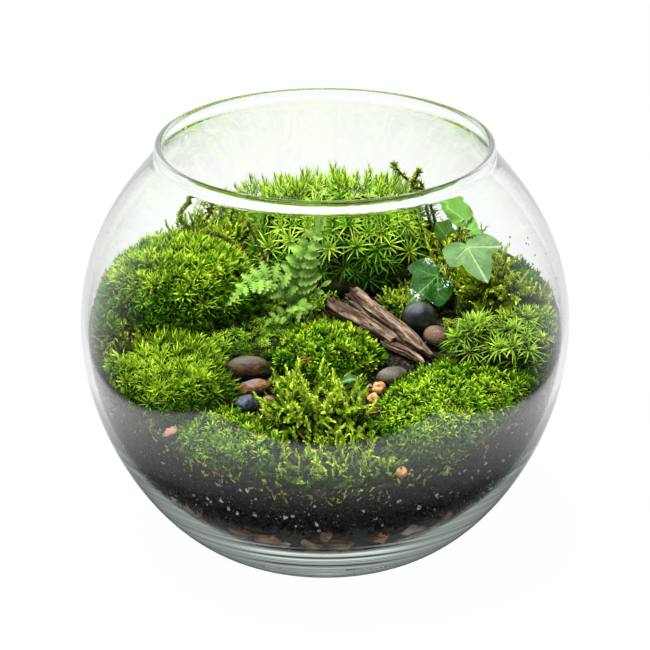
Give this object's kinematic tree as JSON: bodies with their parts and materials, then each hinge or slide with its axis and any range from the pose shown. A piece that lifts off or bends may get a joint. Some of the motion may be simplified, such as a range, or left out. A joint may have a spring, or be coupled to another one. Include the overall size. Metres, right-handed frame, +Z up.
{
  "type": "glass plant terrarium",
  "caption": "Round clear glass bowl planted as a moss garden: moss cushions, small fern, ivy sprig, driftwood and pebbles on soil over drainage gravel.",
  "frame": {"origin": "middle of the bowl's flat base, on the surface that it stands on", "axes": "+Z up through the bowl's mouth, -Y the planted front, which has the lowest bank of soil, and +X the viewer's right from the front"},
  "size_m": [0.25, 0.25, 0.214],
  "materials": {
    "clear_glass": "gloss",
    "gravel": "matte",
    "soil": "matte",
    "cushion_moss": "matte",
    "haircap_moss": "matte",
    "feather_moss": "matte",
    "brown_stone": "satin",
    "red_stone": "gloss",
    "dark_stone": "satin",
    "grey_stone": "satin",
    "orange_stone": "matte",
    "black_stone": "satin",
    "driftwood": "matte",
    "fern_crown": "matte",
    "fern": "satin",
    "ivy_stem": "matte",
    "ivy": "satin",
    "twig": "matte",
    "leaf": "satin"
  },
  "bodies": {
    "root": {"glass_bowl": "clear_glass", "drainage_gravel": "gravel", "potting_soil": "soil", "cushion_moss_large": "cushion_moss", "cushion_moss_front_left": "cushion_moss", "cushion_moss_center": "cushion_moss", "cushion_moss_front_right": "cushion_moss", "cushion_moss_low_left": "cushion_moss", "haircap_moss_back": "haircap_moss", "haircap_moss_right": "haircap_moss", "haircap_moss_by_fern": "haircap_moss", "feather_moss_right": "feather_moss", "feather_moss_right_rear": "feather_moss", "feather_moss_front": "feather_moss", "feather_moss_low_front": "feather_moss", "feather_moss_left_rear": "feather_moss", "feather_moss_by_wood": "feather_moss", "feather_moss_wood_end": "feather_moss", "pebble_brown_oval": "brown_stone", "pebble_red_wet": "red_stone", "pebble_blue_grey": "dark_stone", "pebble_dark_small": "dark_stone", "pebble_grey_oval": "grey_stone", "pebble_orange": "orange_stone", "pebble_orange_small": "orange_stone", "pebble_black_flat": "black_stone", "pebble_black_round": "black_stone", "pebble_brown_round": "brown_stone", "pebble_front": "orange_stone", "pebble_tan_left": "orange_stone", "driftwood": "driftwood", "fern_crown": "fern_crown", "fern_frond_tall": "fern", "fern_frond_left": "fern", "fern_frond_low": "fern", "fern_frond_right": "fern", "fern_frond_young": "fern", "ivy_stem": "ivy_stem", "ivy_leaf_large": "ivy", "ivy_leaf_low": "ivy", "ivy_leaf_top": "ivy", "ivy_leaf_side": "ivy", "ivy_leaf_young": "ivy", "twig_looped": "twig", "twig_mossy": "twig", "stalk_back_left": "twig", "stalk_back_right": "twig", "fallen_leaf": "leaf"}
  },
  "joints": []
}
